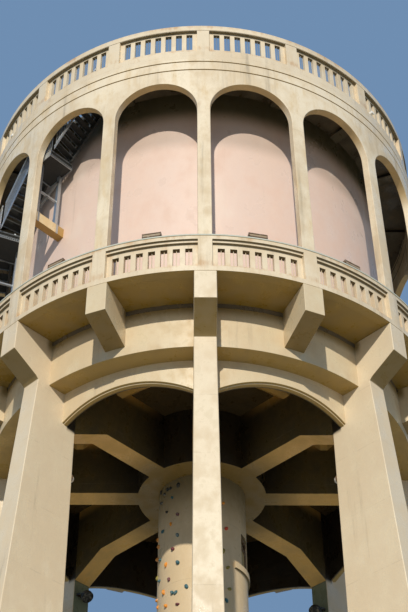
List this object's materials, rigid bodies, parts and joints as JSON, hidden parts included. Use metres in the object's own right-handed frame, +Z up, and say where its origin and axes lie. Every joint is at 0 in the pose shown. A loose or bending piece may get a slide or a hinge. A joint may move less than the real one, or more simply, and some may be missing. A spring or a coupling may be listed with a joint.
{
  "type": "water tower",
  "caption": "Round concrete water tower: battered piers around a climbing shaft, an arcaded gallery around the tank, slotted balustrades and a steel stair to the roof.",
  "frame": {"origin": "centre of the tower at ground level", "axes": "+Z up along the tower's axis, -Y towards the viewer of the picture, +X to the viewer's right"},
  "size_m": [13.453, 13.453, 30.79],
  "materials": {
    "concrete": "weathered painted concrete",
    "tank_render": "matt pink lime render",
    "galvanised_steel": "dull galvanised"
  },
  "bodies": {
    "root": {"pier_1": "concrete", "arch_wall_1": "concrete", "pier_2": "concrete", "arch_wall_2": "concrete", "pier_3": "concrete", "arch_wall_3": "concrete", "pier_4": "concrete", "arch_wall_4": "concrete", "pier_5": "concrete", "arch_wall_5": "concrete", "pier_6": "concrete", "arch_wall_6": "concrete", "pier_7": "concrete", "arch_wall_7": "concrete", "pier_8": "concrete", "arch_wall_8": "concrete", "floor_beams": "concrete", "shaft": "concrete", "tank_floor": "concrete", "gallery_slab": "concrete", "tank_wall": "tank_render", "roof_slab": "concrete", "gallery_rail_1": "concrete", "arcade_1": "concrete", "parapet_1": "concrete", "gallery_rail_2": "concrete", "arcade_2": "concrete", "parapet_2": "concrete", "gallery_rail_3": "concrete", "arcade_3": "concrete", "parapet_3": "concrete", "gallery_rail_4": "concrete", "arcade_4": "concrete", "parapet_4": "concrete", "stair_beam": "concrete", "stair_landing_1": "galvanised_steel", "stair_flight_1": "galvanised_steel", "stair_landing_2": "galvanised_steel", "stair_flight_2": "galvanised_steel", "stair_landing_3": "galvanised_steel", "stair_flight_3": "galvanised_steel", "stair_landing_4": "galvanised_steel", "stair_flight_4": "galvanised_steel", "stair_landing_5": "galvanised_steel", "stair_flight_5": "galvanised_steel", "stair_flight_6": "galvanised_steel"}
  },
  "joints": []
}
